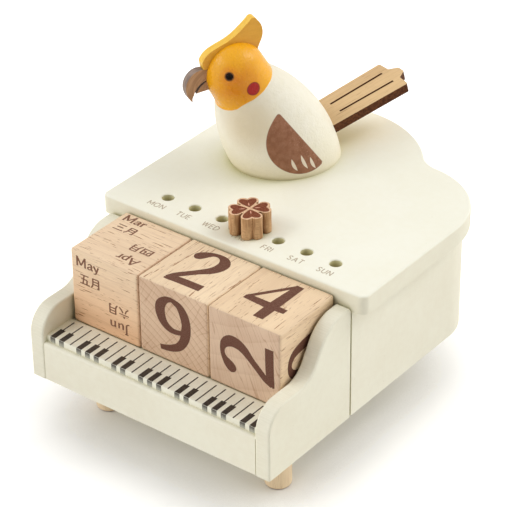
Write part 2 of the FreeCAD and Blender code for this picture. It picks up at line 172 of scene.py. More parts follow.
class Finish(Wiring):
    """A material, wired in the frame of the piece it covers."""

    def __init__(self, name, at=(0, 0, 0), turned=(0, 0, 0)):
        self.material = bpy.data.materials.new(name)
        self.material.use_nodes = True
        super().__init__(self.material.node_tree)
        self.shader = self.tree.nodes["Principled BSDF"]
        found = self.node("TexCoord")
        turn = {"Rotation": [math.radians(angle) for angle in turned]}
        place = {"Vector": found["Object"], "Location": [step / 1000 for step in at],
                 "Scale": (0.001, 0.001, 0.001), **turn}
        self.own = self.node("Mapping", place, 0, vector_type="TEXTURE")
        normal = {"Vector": found["Normal"], **turn}
        self.normal = self.node("Mapping", normal, 0, vector_type="TEXTURE")

    def surface(self, colour, roughness, height=None, depth=0.0, specular=0.5):
        """Feeds the shader; a height, times a depth in millimetres, becomes its bump."""
        inputs = self.shader.inputs
        self.feed(inputs["Base Color"], colour)
        self.feed(inputs["Roughness"], roughness)
        inputs["Specular IOR Level"].default_value = specular
        if height:
            bump = {"Height": height, "Strength": 1.0, "Distance": depth / 1000}
            self.feed(inputs["Normal"], self.node("Bump", bump, 0))

    def coat(self, *nodes):
        """Gives CAD nodes this finish."""
        for name in nodes:
            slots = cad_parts[name].data.materials
            slots.clear()
            slots.append(self.material)


# Sprayed paint on sanded board: cloudy colour, orange peel, a few sunk fibres,
# and a painted olive shade in corners and recesses.
painted_wood, spray, taken, given = new_effect(
    "painted_wood",
    {"Place": "vector", "Paint": "colour", "Shade": "colour"},
    {"Color": "colour", "Roughness": "value", "Height": "value"},
)
clouds = spray.noise(0.035, 3.0)
mottle = spray.noise(0.4, 3.0)
fibres = spray.noise((0.12, 1.6, 1.6), 3.0)
peel = spray.noise(1.5)
specks = spray.patches(1.1, 1.0, 0.76, 0.82)
cloudy = spray.between(clouds * 0.55 + mottle * 0.35 + fibres * 0.1, 0.32, 0.68)
body = spray.mix(cloudy, taken["Shade"], taken["Paint"])
body = spray.mix(specks * 0.25, body, tone(190, 176, 140))
# Painted shade: within a few millimetres of another face the paint darkens to olive.
painted_recess_shade = spray.corner(0.004, 0.1, 0.7, 0.7, samples=4)
spray.feed(given["Color"], spray.mix(painted_recess_shade, body, tone(188, 182, 132)))
spray.feed(given["Roughness"], spray.between(mottle, 0.3, 0.7, 0.42, 0.58))
spray.feed(given["Height"], peel * 0.6 + fibres * 0.5 + mottle)

# ivory is the paint; the lit top and shaded side tones are copies of it, painted light on the lid's top
# and painted shade on the lid's edges and the cheeks' sides.
ivory, ivory_shade = tone(244, 240, 220), tone(239, 233, 211)
lit_top_ivory, lit_top_ivory_shade = tone(249, 247, 231), tone(246, 243, 224)
shaded_side_ivory, shaded_side_ivory_shade = tone(241, 237, 216), tone(236, 230, 207)
peel_depth = 0.035


def painted(name, colour, shade, depth=peel_depth, **frame_of_piece):
    paint = Finish(name, **frame_of_piece)
    sprayed = paint.use(painted_wood, Place=paint.own, Paint=colour, Shade=shade)
    paint.surface(sprayed["Color"], sprayed["Roughness"], sprayed["Height"], depth)
    return paint


painted("ivory_case_paint", ivory, ivory_shade, turned=(0, 90, 0)).coat("case_rim", "case_floor")

# --- Lid and its weekday names ----------------------------------------------
# The lid is one routed board with a rounded top edge, glued on the rim and
# sprayed with it, its top painted lighter than its edges as painted light.
# Seven blind holes are drilled in it, their walls painted with an olive shade,
# and the weekday names are pad printed in a thin grey-brown line in front of
# them. A painted contact shadow darkens the top round the bird and the peg.

lid_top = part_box("lid")[1].z * 1000
hole_row, hole_row_half, hole_row_reach = -20.13, 2.6, 45
paint = Finish("ivory_lid_paint", at=(0, 0, lid_top))
# Painted light and shade: top faces take the lit tone, all other faces the shaded one.
lit_top_face = paint.between(paint.parts(paint.normal)[2], 0.3, 0.9)
sprayed = paint.use(painted_wood, Place=paint.own,
                    Paint=paint.mix(lit_top_face, shaded_side_ivory, lit_top_ivory),
                    Shade=paint.mix(lit_top_face, shaded_side_ivory_shade, lit_top_ivory_shade))
along_row, from_row, depth = paint.parts(paint.own)
in_row = paint.calc("LESS_THAN", abs(from_row - hole_row), hole_row_half)
in_row = in_row * paint.calc("LESS_THAN", abs(along_row), hole_row_reach)
drilled = in_row * paint.fade(depth, -0.55, -0.3)
# Painted shade: the hole walls are olive, darker towards the bottom of each hole.
painted_hole_shade = paint.mix(paint.between(depth, -2.6, -0.4), tone(204, 196, 150), tone(228, 222, 182))
# Painted shadow: the lid's top turns olive close to the bird and the peg.
painted_contact_shade = paint.corner(0.016, 0.2, 0.85, 0.75) * lit_top_face
lid_colour = paint.mix(painted_contact_shade, sprayed["Color"], tone(200, 195, 140))
paint.surface(paint.mix(drilled, lid_colour, painted_hole_shade), sprayed["Roughness"],
              sprayed["Height"], peel_depth)
paint.coat("lid")

# Ink stands a little proud of a face and reaches a little into it. Each plate
# lies a step higher than the last, in cycles, so that plates that touch never
# share a plane.
print_rise = 0.03
print_sink = 0.05
layer_step = 0.0007
layer_cycle = 12
stroke_climb = 0.002
curve_steps = 7


class Print:
    """A flat print on a face: thin plates of ink, gathered into one mesh."""

    def __init__(self):
        self.points = []
        self.faces = []
        self.layers = 0

    def next_layer(self):
        self.layers += 1
        return print_rise + layer_step * (self.layers % layer_cycle)

    def plate(self, outline, to_space):
        """One closed plate from an outline of (x, y) in face millimetres."""
        top = self.next_layer()
        first, count = len(self.points), len(outline)
        for height in (top, -print_sink):
            self.points += [to_space @ Vector((x, y, height)) for x, y in outline]
        self.faces.append([first + i for i in range(count)])
        self.faces.append([first + count + i for i in reversed(range(count))])
        for i in range(count):
            j = (i + 1) % count
            self.faces.append([first + i, first + count + i, first + count + j, first + j])

    def stroke(self, path, to_space, closed=False):
        """One brush stroke along (x, y, width) points; two points run straight, more run smooth."""
        smooth = flowing(path, closed)
        left, right = [], []
        for i, (x, y, width) in enumerate(smooth):
            before = smooth[i - 1 if i or closed else i]
            after = smooth[(i + 1) % len(smooth) if i + 1 < len(smooth) or closed else i]
            run = Vector((after[0] - before[0], after[1] - before[1])).normalized()
            left.append((x - run.y * width / 2, y + run.x * width / 2))
            right.append((x + run.y * width / 2, y - run.x * width / 2))
        self.ribbon(left, right, to_space, closed)

    def ribbon(self, left, right, to_space, closed):
        base = self.next_layer()
        first, count = len(self.points), len(left)
        for i in range(count):
            top = base + stroke_climb * i / count
            around = ((left[i], top), (right[i], top), (right[i], -print_sink), (left[i], -print_sink))
            self.points += [to_space @ Vector((x, y, z)) for (x, y), z in around]
        for i in range(count if closed else count - 1):
            a, b = first + 4 * i, first + 4 * ((i + 1) % count)
            for k in range(4):
                j = (k + 1) % 4
                self.faces.append([a + k, a + j, b + j, b + k])
        if not closed:
            last = first + 4 * (count - 1)
            self.faces.append([first + 3, first + 2, first + 1, first])
            self.faces.append([last, last + 1, last + 2, last + 3])

    def finish(self, name, ink, body, slot):
        mesh = bpy.data.meshes.new(name)
        mesh.from_pydata([p / 1000 for p in self.points], [], self.faces)
        mesh.validate()
        mesh.materials.append(ink.material)
        piece = bpy.data.objects.new(name, mesh)
        bpy.context.scene.collection.objects.link(piece)
        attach(piece, body)


def flowing(path, closed=False):
    """A smooth run of points through the ones given, widths included."""
    if len(path) == 2:
        return [tuple(p) for p in path]
    count = len(path)
    runs = []
    for i in range(count if closed else count - 1):
        places = range(i - 1, i + 3)
        near = [path[k % count if closed else max(0, min(count - 1, k))] for k in places]
        for step in range(curve_steps):
            t = step / curve_steps
            point = []
            for a, b, c, d in zip(*near):
                point.append(0.5 * (2 * b + (c - a) * t + (2 * a - 5 * b + 4 * c - d) * t * t
                                    + (3 * b - a - 3 * c + d) * t ** 3))
            runs.append(tuple(point))
    if not closed:
        runs.append(tuple(path[-1]))
    return runs


def facing(corner, right, up):
    """A face's frame: x to the right along the print, y up it, z out of the face."""
    out = Vector(right).cross(Vector(up))
    rows = Matrix((right, up, out)).transposed().to_4x4()
    return Matrix.Translation(corner) @ rows


def angled(*corners):
    """Straight strokes from corner to corner."""
    return list(zip(corners, corners[1:]))


# Plain capitals for the weekdays, in hundredths of their height: each letter is
# its width and its strokes.
stem = [(0, 0), (0, 100)]
bowl_d = [(0, 100), (30, 100), (62, 75), (66, 50), (62, 25), (30, 0), (0, 0)]
bowl_r = [(0, 100), (30, 100), (50, 90), (52, 76), (50, 60), (30, 50), (0, 50)]
curve_s = [(50, 86), (30, 100), (10, 90), (6, 74), (28, 54), (50, 34), (50, 14), (28, 0), (2, 12)]
curve_u = [(0, 100), (0, 35), (8, 10), (30, 0), (52, 10), (60, 35), (60, 100)]
round_o = [(38, 100), (10, 85), (0, 50), (10, 15), (38, 0), (66, 15), (76, 50), (66, 85), (38, 100)]
plain_capitals = {
    "A": (66, [*angled((0, 0), (33, 100), (66, 0)), [(12, 35), (54, 35)]]),
    "D": (68, [stem, bowl_d]),
    "E": (48, [*angled((0, 0), (0, 100), (48, 100)), [(0, 52), (42, 52)], [(0, 0), (48, 0)]]),
    "F": (48, [*angled((0, 0), (0, 100), (48, 100)), [(0, 52), (42, 52)]]),
    "H": (62, [stem, [(62, 0), (62, 100)], [(0, 50), (62, 50)]]),
    "I": (2, [stem]),
    "M": (78, angled((0, 0), (0, 100), (39, 20), (78, 100), (78, 0))),
    "N": (62, angled((0, 0), (0, 100), (62, 0), (62, 100))),
    "O": (76, [round_o]),
    "R": (56, [stem, bowl_r, [(28, 50), (56, 0)]]),
    "S": (54, [curve_s]),
    "T": (60, [[(0, 100), (60, 100)], [(30, 100), (30, 0)]]),
    "U": (60, [curve_u]),
    "W": (94, angled((0, 100), (24, 0), (47, 100), (70, 0), (94, 100))),
}
weekday_names = ("MON", "TUE", "WED", "THU", "FRI", "SAT", "SUN")
weekday_pitch = 12.2
label_height = 2.5
label_unit = label_height / 100
label_gap = 30
label_line = 0.36
label_front = -27.75

ink = Finish("grey_label_ink")
worn = ink.patches(2.4, 2.0, 0.38, 0.62)
ink.surface(ink.mix(worn, tone(206, 192, 168), tone(168, 150, 124)),
            ink.between(ink.noise(3.0), 0.3, 0.7, 0.45, 0.65))

labels = Print()
for number, word in enumerate(weekday_names):
    wide = sum(plain_capitals[letter][0] for letter in word) + label_gap * (len(word) - 1)
    start = (number - len(weekday_names) // 2) * weekday_pitch - wide * label_unit / 2
    for letter in word:
        letter_width, strokes = plain_capitals[letter]
        here = facing((start, label_front, lid_top), (1, 0, 0), (0, 1, 0))
        for path in strokes:
            labels.stroke([(x * label_unit, y * label_unit, label_line) for x, y in path], here)
        start += (letter_width + label_gap) * label_unit
labels.finish("weekday_labels", ink, "case", "ivory_paint")

# --- Keyboard end: cheeks, keyslip, key strip and boards --------------------
# Two shaped cheeks, the keyslip, the key strip with the cube shelf behind it
# and the base board are sprayed with the same ivory paint. The keys are
# screen printed on the strip: black tops that run grey down its front face.

front_boards = ("keyslip", "cube_shelf", "base_board", "bay_wall")
painted("ivory_front_paint", ivory, ivory_shade).coat(*front_boards)

paint = Finish("ivory_cheek_paint")
# Painted light and shade: the cheek's narrow edges take the plain ivory and its broad sides the shaded
# side tone; the sanding marks on the edges are real.
sanded_lit_edge = paint.fade(abs(paint.parts(paint.normal)[0]), 0.4, 0.8)
sprayed = paint.use(painted_wood, Place=paint.own, Paint=paint.mix(sanded_lit_edge, shaded_side_ivory, ivory),
                    Shade=paint.mix(sanded_lit_edge, shaded_side_ivory_shade, ivory_shade))
sanding = paint.patches((0.12, 2.4, 2.4), 2.0, 0.4, 0.62) * sanded_lit_edge
paint.surface(paint.mix(sanding * 0.14, sprayed["Color"], tone(212, 210, 182)),
              sprayed["Roughness"], sprayed["Height"] + sanding * -0.7, peel_depth)
paint.coat("cheek_left", "cheek_right")
painted("ivory_key_paint", tone(246, 243, 225), tone(238, 234, 214), 0.05).coat("key_strip")

key_pitch = 3.964
key_boundaries = 23
octave = 7
without_black_key = (2, 6)
black_key_width = 2.2
black_key_length = 5.6
key_line = 0.5
key_border = 1.7
edge_gap = 0.12
front_fade = 2.3

strip_low, strip_high = [corner * 1000 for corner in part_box("key_strip")]
strip_top = facing((0, strip_low.y, strip_high.z), (1, 0, 0), (0, 1, 0))
strip_front = facing((0, strip_low.y, strip_high.z), (1, 0, 0), (0, 0, 1))
line_end = strip_high.y - strip_low.y - key_border


def bar(middle, width, low, high):
    left, right = middle - width / 2, middle + width / 2
    return [(left, low), (right, low), (right, high), (left, high)]


key_print, front_print = Print(), Print()
for number in range(key_boundaries):
    across = (number - (key_boundaries - 1) / 2) * key_pitch
    sharp = number % octave not in without_black_key
    line_start = black_key_length if sharp else edge_gap
    key_print.plate(bar(across, key_line, line_start, line_end), strip_top)
    if sharp:
        key_print.plate(bar(across, black_key_width, edge_gap, black_key_length), strip_top)
        front_print.plate(bar(across, black_key_width, -front_fade, -edge_gap), strip_front)

ink = Finish("black_key_ink")
ink.surface(ink.mix(ink.patches(0.9, 3.0), tone(38, 30, 24), tone(56, 46, 36)),
            ink.between(ink.noise(2.0), 0.3, 0.7, 0.4, 0.6))
key_print.finish("key_print", ink, "drawer", "ivory_paint")

ink = Finish("grey_key_front_ink", at=(0, 0, strip_high.z))
streaks = ink.noise((1.5, 1.5, 0.4))
below_edge = ink.parts(ink.own)[2] + streaks * 1.2
grey = ink.between(below_edge, -front_fade + 0.4, 0.5)
ink.surface(ink.mix(grey, tone(186, 185, 170), tone(86, 80, 72)),
            ink.between(streaks, 0.3, 0.7, 0.4, 0.55))
front_print.finish("key_front_print", ink, "drawer", "ivory_paint")

# --- Legs and the drawer's tray ---------------------------------------------
# The legs are turned beech pins with a rounded toe, glued in by a tenon. The
# tray behind the cubes is glued up from thin beech boards. Both are left
# bare, so the grain, the rays and the end grain of the wood show.

# Beech in its own frame: Z runs along the grain, rings lie round the Z axis.
beech_timber, timber, taken, given = new_effect(
    "beech_timber",
    {"Place": "vector", "Normal": "vector", "Face": "colour", "End": "colour", "Dark": "colour",
     "Ring": "value", "Fleck": "value", "Line": "value", "Ray": "value"},
    {"Color": "colour", "Roughness": "value", "Height": "value", "EndGrain": "value"},
)
across_x, across_y, lengthwise = timber.parts(timber.own)
warped = timber.length(across_x, across_y) + timber.noise((0.06, 0.06, 0.012)) * 2.4
turn = timber.calc("ARCTAN2", across_y, across_x) * 100.0
end_grain = timber.between(abs(timber.parts(taken["Normal"])[2]), 0.55, 0.85)

# The growth rings: a late-wood line each, and a faint band on the end grain.
ring = timber.calc("FRACT", warped / taken["Ring"])
ring_line = timber.between(ring, 0.72, 0.97) * timber.fade(ring, 0.97, 1.0)
lines = ring_line * timber.between(end_grain, 0.0, 1.0, 0.1, taken["Line"])
ring_band = timber.between(ring, 0.0, 0.95) * (end_grain * 0.05)

# The rays run out from the heart and show on the end grain.
ray_steps = {"X": warped * 0.05, "Y": turn, "Z": lengthwise * 0.16}
ray_place = timber.node("CombineXYZ", ray_steps, 0)
jitter = timber.noise((1.0, 0.4, 1.0), 1.0, place=ray_place)
ray_cell = abs(timber.calc("FRACT", turn * 0.5 + jitter * 3.0) - 0.5)
fine_rays = timber.patches((1.0, 4.5, 1.6), 1.0, 0.58, 0.75, place=ray_place)
rays = timber.calc("MAXIMUM", timber.fade(ray_cell, 0.0, 0.09), fine_rays * 0.5)
rays = rays * (end_grain * taken["Ray"])

# The same rays cut lengthwise are the short dark flecks on the side grain.
flecks = timber.patches((2.3, 2.3, 0.28), 1.0, 0.665, 0.73)
long_place = timber.stretched(timber.own, (1.9, 1.9, 0.11), (3.0, 7.0, 5.0))
long_flecks = timber.patches(1.0, 1.0, 0.675, 0.735, place=long_place)
flecks = timber.calc("MAXIMUM", flecks * 0.7, long_flecks)
marks = flecks * (taken["Fleck"] * (1.0 - end_grain))

fibre = timber.noise((5.0, 5.0, 0.22), 3.0)
pores = timber.noise(6.0)
soft = timber.between(fibre * 0.5 + timber.noise((0.09, 0.09, 0.02)) * 0.5, 0.33, 0.67, 0.2, 0.0)
dark_share = timber.calc("ADD", marks + (lines + ring_band), rays + soft, clamp=True)
wood = timber.mix(dark_share, timber.mix(end_grain, taken["Face"], taken["End"]), taken["Dark"])
# Painted shade: the wood turns dark brown in narrow gaps and where it meets other parts.
painted_gap_shade = timber.corner(0.0018, 0.05, 0.5, 0.5, samples=4)
timber.feed(given["Color"], timber.mix(painted_gap_shade, wood, tone(124, 84, 50)))
timber.feed(given["Roughness"], timber.between(fibre, 0.3, 0.7, 0.5, 0.68))
timber.feed(given["Height"], marks * -0.35 + pores * 0.3 + fibre * 0.5)
timber.feed(given["EndGrain"], end_grain)

beech_face, beech_end, beech_dark = tone(240, 214, 179), tone(226, 193, 162), tone(158, 108, 72)
wood_depth = 0.04


def bare_beech(name, at, turned, face=beech_face, end=beech_end, dark=beech_dark, ring_width=3.3,
               fleck=0.75, line=0.24, ray=0.26, heart=None):
    """Beech with the grain turned into its frame. A heart tone, when given, is a
    painted shade that darkens it towards the foot.
    """
    wood = Finish(name, at, turned)
    if heart:
        foot_shade_low, foot_shade_high = 0.038, 0.068
        rise = wood.parts(wood.node("TexCoord")["Object"])[2]
        face = wood.mix(wood.between(rise, foot_shade_low, foot_shade_high), heart, face)
    beech = wood.use(beech_timber, Place=wood.own, Normal=wood.normal, Face=face, End=end,
                     Dark=dark, Ring=ring_width, Fleck=fleck, Line=line, Ray=ray)
    wood.surface(beech["Color"], beech["Roughness"], beech["Height"], wood_depth, 0.3)
    return wood


leg_beech = bare_beech("leg_beech", (18, 60, 0), (0, 0, 0), face=tone(244, 220, 182),
                       ring_width=2.1, fleck=0.2)
leg_beech.coat("front_leg_left", "front_leg_right", "tail_leg")
tray_beech = bare_beech("tray_beech", (10, 0, -60), (90, 0, 0), ring_width=3.0)
tray_beech.coat("tray_side_left", "tray_side_right", "tray_bottom")
bare_beech("tray_back_beech", (0, -40, -60), (0, 90, 0), ring_width=3.0).coat("tray_back")

# --- Date cubes -------------------------------------------------------------
# Three solid beech cubes with eased edges: a month cube with its grain across
# and two day cubes with end grain to the front. Months, their characters and
# the numerals are printed in dark red-brown ink, two months to a face.

cube_dark = tone(150, 92, 50)
# The heart tone is a painted shade: the month cube turns darker and more orange towards its foot.
month_beech = bare_beech("month_cube_beech", (0, -96, 30), (0, 90, 0), face=tone(247, 220, 186),
                         dark=cube_dark, heart=tone(242, 198, 156), ring_width=2.6, fleck=0.9)
month_beech.coat("month_cube")
tens_beech = bare_beech("tens_cube_beech", (-54, 0, -19), (-90, 0, 0), face=tone(248, 223, 188),
                        end=tone(227, 197, 167), dark=cube_dark, ring_width=2.6)
tens_beech.coat("tens_cube")
units_beech = bare_beech("units_cube_beech", (-2, 0, 148), (-90, 0, 0), face=tone(245, 217, 180),
                         end=tone(224, 195, 167), dark=cube_dark, ring_width=6.0, line=0.06, ray=0.34)
units_beech.coat("units_cube")


def stamped_ink(name, thin, thick, grain=3.0):
    """Matt ink, thinner where the stamp printed dry."""
    ink = Finish(name)
    dry = ink.noise(grain, 3.0)
    ink.surface(ink.mix(ink.between(dry, 0.36, 0.66), thin, thick),
                ink.between(dry, 0.3, 0.7, 0.5, 0.7), specular=0.2)
    return ink


cube_ink = stamped_ink("red_brown_cube_ink", tone(116, 78, 62), tone(98, 62, 48))
month_ink = stamped_ink("thin_red_brown_ink", tone(140, 98, 76), tone(114, 76, 58))

# Numerals on a 30 mm face: broad (x, y, width) strokes, and (x, y) outlines
# where they are angular.
numerals = {
    "0": [[(14.9, 25.8, 2.2), (10.9, 23.4, 3.3), (9.4, 15.5, 4.1), (10.9, 7.6, 3.3), (14.9, 5.2, 2.2),
           (18.9, 7.6, 3.3), (20.4, 15.5, 4.1), (18.9, 23.4, 3.3), (14.9, 25.8, 2.2)]],
    "1": [[(16.2, 26.4, 2.8), (16.2, 4.3, 4.0)], [(16.4, 25.7, 1.8), (12.0, 22.6, 1.6)]],
    "2": [[(7.5, 21.1, 0.8), (7.9, 21.4, 2.9), (9.0, 22.3, 4.1), (10.4, 23.9, 3.7), (11.9, 25.2, 2.5),
           (13.6, 25.95, 1.9), (15.6, 25.95, 2.2), (17.3, 25.3, 3.1), (18.6, 24.1, 3.9),
           (19.5, 22.3, 4.4), (19.5, 20.4, 4.4), (19.0, 18.6, 4.1), (17.7, 16.5, 3.6), (15.2, 13.9, 2.8),
           (12.6, 11.0, 2.7), (9.9, 8.0, 2.6), (8.0, 5.4, 1.4)],
          [(7.6, 4.7, 0.8), (9.6, 5.5, 2.5), (12.6, 6.2, 3.4), (22.5, 6.4, 3.5)]],
    "3": [[(8.8, 23.4, 1.9), (11.4, 25.4, 2.4), (15.0, 25.6, 2.6), (18.2, 23.6, 3.5), (18.6, 20.6, 3.5),
           (16.6, 17.6, 2.6), (12.8, 16.2, 1.6)],
          [(12.8, 16.4, 1.6), (17.0, 16.0, 2.6), (19.8, 13.4, 3.8), (20.2, 9.8, 4.0), (17.9, 6.5, 3.1),
           (14.2, 5.1, 2.1), (10.4, 5.2, 1.8), (8.0, 6.4, 1.5)]],
    "4": [[(6.4, 10.8), (16.2, 10.1), (16.2, 13.6), (9.0, 13.6), (6.4, 12.6)],
          [(6.4, 12.6), (9.0, 13.6), (17.5, 25.2), (17.0, 27.1)],
          [(15.0, 11.8, 3.4), (23.3, 11.85, 2.5)],
          [(18.2, 27.1, 3.1), (17.8, 14.0, 4.2), (17.75, 4.0, 4.0)]],
    "5": [[(11.0, 25.3, 2.8), (20.6, 25.4, 2.9)], [(11.9, 25.6, 2.2), (10.7, 16.6, 2.0)],
          [(10.0, 16.8, 1.6), (14.0, 17.9, 2.4), (18.0, 16.4, 3.6), (20.0, 12.6, 4.1), (18.8, 8.4, 3.6),
           (15.2, 5.6, 2.4), (11.4, 5.0, 1.8), (8.4, 6.0, 1.5)]],
    "7": [[(8.0, 25.1, 3.4), (21.8, 25.3, 2.7)],
          [(20.9, 25.3, 2.3), (16.2, 15.5, 3.4), (12.8, 4.3, 4.2)]],
    "8": [[(15.0, 25.9, 1.9), (18.6, 24.0, 3.0), (18.5, 20.4, 2.9), (14.8, 16.2, 3.7), (10.6, 12.2, 3.4),
           (10.2, 7.8, 3.2), (15.0, 5.0, 1.9), (19.9, 7.6, 3.3), (19.7, 11.8, 3.2), (15.4, 16.0, 2.7),
           (11.6, 20.2, 3.0), (11.5, 24.0, 2.8), (15.0, 25.9, 1.9)]],
    "9": [[(13.8, 26.0, 1.5), (17.9, 24.3, 3.1), (19.9, 21.2, 4.0), (20.7, 17.6, 3.9), (20.3, 13.8, 4.1),
           (19.3, 10.6, 3.5), (17.3, 7.9, 3.1), (14.3, 6.2, 2.7), (11.6, 5.4, 2.3), (9.1, 5.0, 1.9)],
          [(14.8, 25.9, 1.6), (12.0, 24.9, 2.6), (9.8, 22.3, 4.0), (9.5, 19.2, 4.2), (10.6, 16.1, 3.7),
           (12.7, 14.1, 3.0), (15.4, 13.4, 2.2), (18.6, 13.9, 1.8)]],
}

face_middle = 15


def cube_faces(node):
    """The six faces of a cube as print frames: x and y run from a face's lower left corner."""
    low, high = [corner * 1000 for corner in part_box(node)]
    ways = {
        "top": ((low.x, low.y, high.z), (1, 0, 0), (0, 1, 0)),
        "front": ((low.x, low.y, low.z), (1, 0, 0), (0, 0, 1)),
        "right": ((high.x, low.y, low.z), (0, 1, 0), (0, 0, 1)),
        "left": ((low.x, high.y, low.z), (0, -1, 0), (0, 0, 1)),
        "back": ((high.x, high.y, low.z), (-1, 0, 0), (0, 0, 1)),
        "bottom": ((low.x, high.y, low.z), (1, 0, 0), (0, -1, 0)),
    }
    return {side: facing(*way) for side, way in ways.items()}


def quarter_turned(face, quarters, slide=(0, 0)):
    """A face's frame turned about its middle, a quarter at a time, then slid along itself."""
    middle = Matrix.Translation((face_middle, face_middle, 0))
    turn = Matrix.Rotation(math.radians(90 * quarters), 4, "Z")
    return face @ middle @ turn @ middle.inverted() @ Matrix.Translation((*slide, 0))


def print_numerals(node, layout):
    """The print of a day cube, from each side's numeral, quarter turns and slide."""
    sheet = Print()
    faces = cube_faces(node)
    for side, (numeral, *turn) in layout.items():
        here = quarter_turned(faces[side], *turn)
        for path in numerals[numeral]:
            if len(path[0]) == 2:
                sheet.plate(path, here)
                continue
            closed = len(path) > 2 and path[0] == path[-1]
            sheet.stroke(path[:-1] if closed else path, here, closed)
    return sheet


tens_print = print_numerals("tens_cube", {
    "top": ("2", 0), "front": ("9", 0), "right": ("0", 1),
    "left": ("1", 0), "back": ("8", 1), "bottom": ("7", 0),
})
tens_print.finish("tens_cube_print", cube_ink, "tens_cube", "cube_beech")
units_print = print_numerals("units_cube", {
    "top": ("4", 0), "front": ("2", 1, (0, -1.9)), "right": ("0", 1, (-0.6, -1.0)),
    "left": ("5", 1), "back": ("3", 0), "bottom": ("1", 1),
})
units_print.finish("units_cube_print", cube_ink, "units_cube", "cube_beech")

# Month letters for a broad nib, in hundredths of their height. A letter is its
# width, its strokes and a code for each stroke: f has a serif at both ends, c
# at its last end only, n none.
bowl_small = [(50, 52), (30, 62), (10, 50), (6, 30), (12, 8), (30, 0), (48, 10)]
bowl_right = [(14, 50), (32, 62), (50, 50), (54, 30), (48, 10), (30, 0), (14, 10)]
arch = [(16, 46), (34, 62), (48, 56), (52, 42), (52, 0)]
dip = [(12, 60), (12, 16), (18, 4), (30, 0), (46, 14)]
tail_y = [(50, 60), (26, -12), (16, -24), (4, -24)]
letters = {
    "A": (88, [*angled((6, 0), (42, 100), (80, 0)), [(20, 34), (66, 34)]], "fff"),
    "D": (84, [[(14, 0), (14, 100)],
               [(6, 100), (40, 100), (70, 80), (76, 50), (70, 20), (40, 0), (6, 0)]], "nn"),
    "F": (62, [[(14, 0), (14, 100)], [(6, 100), (58, 100)], [(14, 52), (48, 52)],
               [(58, 102), (58, 84)]], "fnnn"),
    "J": (54, [[(36, 100), (36, 20), (30, -10), (8, -22)], [(20, 100), (52, 100)]], "nn"),
    "M": (104, angled((14, 0), (14, 100), (50, 12), (88, 100), (88, 0)), "fnnf"),
    "N": (90, [[(14, 0), (14, 100)], *angled((12, 100), (74, 0), (74, 100))], "fnc"),
    "O": (86, [[(42, 100), (14, 84), (6, 50), (14, 16), (42, 0), (70, 16), (78, 50), (70, 84),
                (42, 100)]], "n"),
    "S": (60, [[(50, 84), (32, 100), (12, 90), (10, 70), (30, 52), (50, 32), (48, 10), (26, 0),
                (6, 14)]], "n"),
    "a": (56, [[(10, 48), (26, 62), (42, 52), (42, 10), (54, 2)],
               [(42, 36), (16, 26), (8, 12), (20, 0), (42, 12)]], "nn"),
    "b": (62, [[(14, 5), (14, 100)], bowl_right], "nn"),
    "c": (52, [[(46, 48), (30, 62), (10, 50), (6, 30), (12, 10), (30, 0), (48, 12)]], "n"),
    "e": (54, [[(8, 36), (48, 36)],
               [(48, 36), (42, 58), (26, 62), (8, 48), (6, 26), (14, 6), (30, 0), (48, 12)]], "nn"),
    "g": (60, [bowl_small, [(48, 60), (48, 0), (42, -20), (26, -27), (8, -20)]], "nn"),
    "l": (30, [[(14, 100), (14, 0)]], "f"),
    "n": (70, [[(14, 60), (14, 0)], arch], "fn"),
    "o": (58, [[(28, 62), (10, 52), (5, 31), (10, 10), (28, 0), (46, 10), (51, 31), (46, 52),
                (28, 62)]], "n"),
    "p": (62, [[(14, 60), (14, -28)], bowl_right], "fn"),
    "r": (46, [[(14, 60), (14, 0)], [(15, 42), (28, 60), (42, 58)]], "fn"),
    "t": (40, [[(16, 84), (16, 14), (24, 0), (38, 6)], [(2, 60), (36, 60)]], "nn"),
    "u": (70, [dip, [(50, 60), (50, 0)]], "nn"),
    "v": (56, angled((4, 60), (28, 0), (52, 60)), "nn"),
    "y": (56, [[(6, 60), (30, 4)], tail_y], "nn"),
}

# The characters for the numbers one to ten and for month, in hundredths of
# their width and height.
characters = {
    "1": [[(5, 50), (95, 50)]],
    "2": [[(20, 78), (80, 78)], [(5, 12), (95, 12)]],
    "3": [[(12, 86), (88, 86)], [(20, 50), (80, 50)], [(4, 10), (96, 10)]],
    "4": [[(8, 84), (8, 6)], [(92, 84), (92, 6)], [(8, 82), (92, 82)], [(8, 14), (92, 14)],
          [(38, 82), (34, 50), (20, 34)], [(62, 82), (62, 42), (82, 42)]],
    "5": [[(10, 88), (90, 88)], [(46, 88), (32, 8)], [(16, 50), (76, 50)], [(74, 50), (70, 8)],
          [(3, 7), (97, 7)]],
    "6": [[(46, 98), (56, 80)], [(4, 66), (96, 66)], [(38, 50), (28, 24), (6, 4)],
          [(60, 50), (74, 26), (94, 6)]],
    "7": [[(5, 50), (95, 62)], [(44, 96), (44, 20), (50, 8), (88, 8), (92, 24)]],
    "8": [[(36, 80), (28, 40), (6, 6)], [(50, 92), (62, 44), (94, 6)]],
    "9": [[(10, 68), (72, 68), (72, 20), (80, 8), (94, 20)], [(42, 95), (40, 50), (8, 5)]],
    "10": [[(5, 56), (95, 56)], [(50, 95), (50, 3)]],
    "month": [[(26, 94), (24, 34), (8, 3)], *angled((26, 92), (82, 92), (82, 6)), [(26, 66), (80, 66)],
              [(26, 40), (80, 40)], [(82, 8), (66, 12)]],
}

nib_thick, nib_thin, nib_down, nib_across, nib_contrast = 0.76, 0.36, 0.97, 0.26, 1.4
word_height, word_stretch, letter_gap = 3.65, 1.32, 2
word_unit = word_height / 100
serif_reach, serif_width = 0.438, 0.32
character_height, character_width, character_step = 4.3, 4.6, 1.06
unit_x, unit_y = character_width / 100, character_height / 100
character_thick, character_thin = 0.64, 0.4


